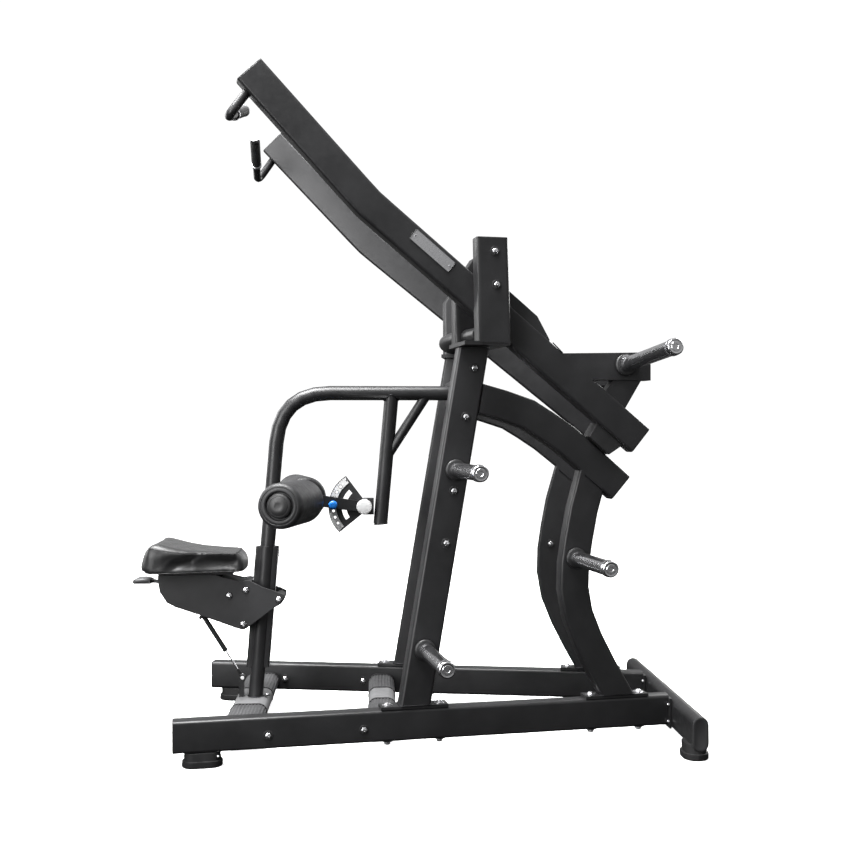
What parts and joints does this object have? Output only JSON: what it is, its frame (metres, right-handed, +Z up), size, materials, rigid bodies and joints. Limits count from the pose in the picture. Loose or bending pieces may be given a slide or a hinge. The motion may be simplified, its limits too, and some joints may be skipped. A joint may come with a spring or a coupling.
{
  "type": "lat pulldown machine",
  "caption": "Plate-loaded lat pulldown machine with two independent lever arms, a sliding seat, padded thigh rollers and weight storage horns.",
  "frame": {"origin": "centre of the bounding box, on the floor", "axes": "+Z up, +X to the right of a person seated facing +Y, -Y at the seat end, symmetric about X = 0 in its main structure"},
  "size_m": [1.3096, 1.8725, 2.1648],
  "materials": {
    "adjuster_bolt": "brushed",
    "arm_badge_left": "brushed",
    "arm_badge_right": "brushed",
    "arm_handle_left": "satin powder coat",
    "arm_handle_right": "satin powder coat",
    "base_rail_left": "satin powder coat",
    "base_rail_right": "satin powder coat",
    "foam_roller_left": "fine grained skin",
    "foam_roller_right": "fine grained skin",
    "foot_front_left": "matte",
    "foot_front_right": "matte",
    "foot_rear_left": "matte",
    "foot_rear_right": "matte",
    "foot_rest_bar": "satin powder coat",
    "front_cross_member": "satin powder coat",
    "gas_spring_cylinder": "satin",
    "gas_spring_rod": "polished",
    "hand_grip_left": "matte",
    "hand_grip_right": "matte",
    "hold_down_frame": "satin powder coat",
    "lever_arm_left": "satin powder coat",
    "lever_arm_right": "satin powder coat",
    "loading_horn_left": "polished",
    "loading_horn_right": "polished",
    "pivot_bearing_left": "brushed",
    "pivot_bearing_right": "brushed",
    "pivot_bracket_left": "satin powder coat",
    "pivot_bracket_right": "satin powder coat",
    "pivot_shaft_left": "brushed",
    "pivot_shaft_right": "brushed",
    "pop_pin": "gloss",
    "rear_cross_member": "satin powder coat",
    "rear_frame_left": "satin powder coat",
    "rear_frame_right": "satin powder coat",
    "release_lever": "matte",
    "roller_arm": "satin powder coat",
    "roller_cap_left": "matte",
    "roller_cap_right": "matte",
    "scale_band": "satin",
    "seat_cushion": "grained",
    "seat_plate": "satin powder coat",
    "seat_post": "satin powder coat",
    "seat_side_plate_left": "satin powder coat",
    "seat_side_plate_right": "satin powder coat",
    "sector_plate": "satin powder coat",
    "slide_guide_lower_front": "matte",
    "slide_guide_rear": "matte",
    "slide_guide_upper_front": "matte",
    "stop_bumper_left": "matte",
    "stop_bumper_right": "matte",
    "storage_horn_lower_left": "polished",
    "storage_horn_lower_right": "polished",
    "storage_horn_rear_left": "polished",
    "storage_horn_rear_right": "polished",
    "storage_horn_upper_left": "polished",
    "storage_horn_upper_right": "polished",
    "top_cross_bar": "satin powder coat",
    "upright_cross_tube": "satin powder coat",
    "upright_left": "satin powder coat",
    "upright_right": "satin powder coat"
  },
  "bodies": {
    "frame": {"adjuster_bolt": "adjuster_bolt", "base_rail_left": "base_rail_left", "base_rail_right": "base_rail_right", "foot_front_left": "foot_front_left", "foot_front_right": "foot_front_right", "foot_rear_left": "foot_rear_left", "foot_rear_right": "foot_rear_right", "foot_rest_bar": "foot_rest_bar", "front_cross_member": "front_cross_member", "hold_down_frame": "hold_down_frame", "pivot_bracket_left": "pivot_bracket_left", "pivot_bracket_right": "pivot_bracket_right", "pivot_shaft_left": "pivot_shaft_left", "pivot_shaft_right": "pivot_shaft_right", "rear_cross_member": "rear_cross_member", "rear_frame_left": "rear_frame_left", "rear_frame_right": "rear_frame_right", "scale_band": "scale_band", "seat_post": "seat_post", "sector_plate": "sector_plate", "stop_bumper_left": "stop_bumper_left", "stop_bumper_right": "stop_bumper_right", "storage_horn_lower_left": "storage_horn_lower_left", "storage_horn_lower_right": "storage_horn_lower_right", "storage_horn_rear_left": "storage_horn_rear_left", "storage_horn_rear_right": "storage_horn_rear_right", "storage_horn_upper_left": "storage_horn_upper_left", "storage_horn_upper_right": "storage_horn_upper_right", "top_cross_bar": "top_cross_bar", "upright_cross_tube": "upright_cross_tube", "upright_left": "upright_left", "upright_right": "upright_right"},
    "arm_right": {"lever_arm_right": "lever_arm_right", "pivot_bearing_right": "pivot_bearing_right", "arm_handle_right": "arm_handle_right", "hand_grip_right": "hand_grip_right", "loading_horn_right": "loading_horn_right", "arm_badge_right": "arm_badge_right"},
    "arm_left": {"lever_arm_left": "lever_arm_left", "pivot_bearing_left": "pivot_bearing_left", "arm_handle_left": "arm_handle_left", "hand_grip_left": "hand_grip_left", "loading_horn_left": "loading_horn_left", "arm_badge_left": "arm_badge_left"},
    "seat_carriage": {"seat_cushion": "seat_cushion", "seat_plate": "seat_plate", "seat_side_plate_left": "seat_side_plate_left", "seat_side_plate_right": "seat_side_plate_right", "slide_guide_upper_front": "slide_guide_upper_front", "slide_guide_rear": "slide_guide_rear", "slide_guide_lower_front": "slide_guide_lower_front"},
    "seat_release": {"release_lever": "release_lever"},
    "gas_cylinder": {"gas_spring_cylinder": "gas_spring_cylinder"},
    "gas_rod": {"gas_spring_rod": "gas_spring_rod"},
    "roller_bracket": {"roller_arm": "roller_arm", "roller_cap_left": "roller_cap_left", "roller_cap_right": "roller_cap_right"},
    "pop_pin_body": {"pop_pin": "pop_pin"},
    "thigh_roller_right": {"foam_roller_right": "foam_roller_right"},
    "thigh_roller_left": {"foam_roller_left": "foam_roller_left"}
  },
  "joints": [
    {"name": "right_arm_pull", "type": "hinge", "parent": "frame", "child": "arm_right", "pos_m": [0.31123, 0.25116, 1.54], "axis": [0.986, 0.1668, 0], "range_deg": [0, 52]},
    {"name": "left_arm_pull", "type": "hinge", "parent": "frame", "child": "arm_left", "pos_m": [-0.31123, 0.25116, 1.54], "axis": [0.986, -0.1668, 0], "range_deg": [0, 52]},
    {"name": "seat_height", "type": "slide", "parent": "frame", "child": "seat_carriage", "axis": [0, 0.0788, 0.9969], "range_m": [-0.02, 0.08]},
    {"name": "seat_release_lift", "type": "hinge", "parent": "seat_carriage", "child": "seat_release", "pos_m": [0, -0.80925, 0.502], "axis": [-1, 0, 0], "range_deg": [0, 11], "stiffness_Nm_per_rad": 0.8, "springref_deg": -8.59},
    {"name": "gas_spring_swing", "type": "hinge", "parent": "seat_carriage", "child": "gas_cylinder", "pos_m": [0, -0.70125, 0.392], "axis": [1, 0, 0], "range_deg": [-12, 4]},
    {"name": "gas_spring_stroke", "type": "slide", "parent": "gas_cylinder", "child": "gas_rod", "axis": [0, 0.5374, -0.8433], "range_m": [-0.02, 0.072]},
    {"name": "roller_height", "type": "hinge", "parent": "frame", "child": "roller_bracket", "pos_m": [0, -0.14525, 0.766], "axis": [-1, 0, 0], "range_deg": [-36, 36]},
    {"name": "pop_pin_pull", "type": "slide", "parent": "roller_bracket", "child": "pop_pin_body", "axis": [1, 0, 0], "range_m": [0, 0.012], "stiffness_N_per_m": 300, "springref_m": -0.006},
    {"name": "right_roller_spin", "type": "hinge", "parent": "roller_bracket", "child": "thigh_roller_right", "pos_m": [0.22314, -0.38029, 0.79], "axis": [0.9776, -0.2105, 0], "continuous": true},
    {"name": "left_roller_spin", "type": "hinge", "parent": "roller_bracket", "child": "thigh_roller_left", "pos_m": [-0.22314, -0.38029, 0.79], "axis": [-0.9776, -0.2105, 0], "continuous": true}
  ],
  "couplings": [
    {"joint": "gas_spring_swing", "follows": "seat_height", "rad_per_m": -1.9826},
    {"joint": "gas_spring_stroke", "follows": "seat_height", "ratio": 0.8338}
  ]
}
